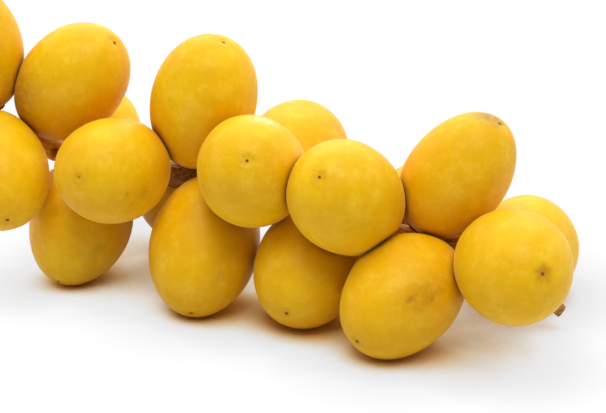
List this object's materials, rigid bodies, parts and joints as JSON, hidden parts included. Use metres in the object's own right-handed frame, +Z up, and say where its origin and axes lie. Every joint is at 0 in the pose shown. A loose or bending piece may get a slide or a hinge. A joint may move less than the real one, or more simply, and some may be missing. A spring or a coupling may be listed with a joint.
{
  "type": "strand of dates",
  "caption": "Cut strand of fresh yellow dates: oval fruits with small calyxes, pressed together along a thin woody strand, lying on their lowest fruits.",
  "frame": {"origin": "on the surface that the strand lies on, under the middle of its bounding box", "axes": "+X along the strand, from its cut end to its tip; +Z up; -Y is the side that the picture shows"},
  "size_m": [0.1664, 0.1144, 0.0753],
  "materials": {
    "fruit_skin": "waxy fresh fruit skin with a soft sheen, golden yellow",
    "calyx": "dry, thin and fibrous, pale brown",
    "strand": "fibrous plant stem, orange brown with paler ridges"
  },
  "bodies": {
    "root": {"strand": "strand", "date_01": "fruit_skin", "date_02": "fruit_skin", "date_03": "fruit_skin", "date_04": "fruit_skin", "date_05": "fruit_skin", "date_06": "fruit_skin", "date_07": "fruit_skin", "date_08": "fruit_skin", "date_09": "fruit_skin", "date_10": "fruit_skin", "date_11": "fruit_skin", "date_12": "fruit_skin", "date_13": "fruit_skin", "date_14": "fruit_skin", "date_15": "fruit_skin", "date_16": "fruit_skin", "date_17": "fruit_skin", "date_18": "fruit_skin", "calyx_01": "calyx", "calyx_02": "calyx", "calyx_03": "calyx", "calyx_04": "calyx", "calyx_05": "calyx", "calyx_06": "calyx", "calyx_07": "calyx", "calyx_08": "calyx", "calyx_09": "calyx", "calyx_10": "calyx", "calyx_11": "calyx", "calyx_12": "calyx", "calyx_13": "calyx", "calyx_14": "calyx", "calyx_15": "calyx", "calyx_16": "calyx", "calyx_17": "calyx", "calyx_18": "calyx"}
  },
  "joints": []
}
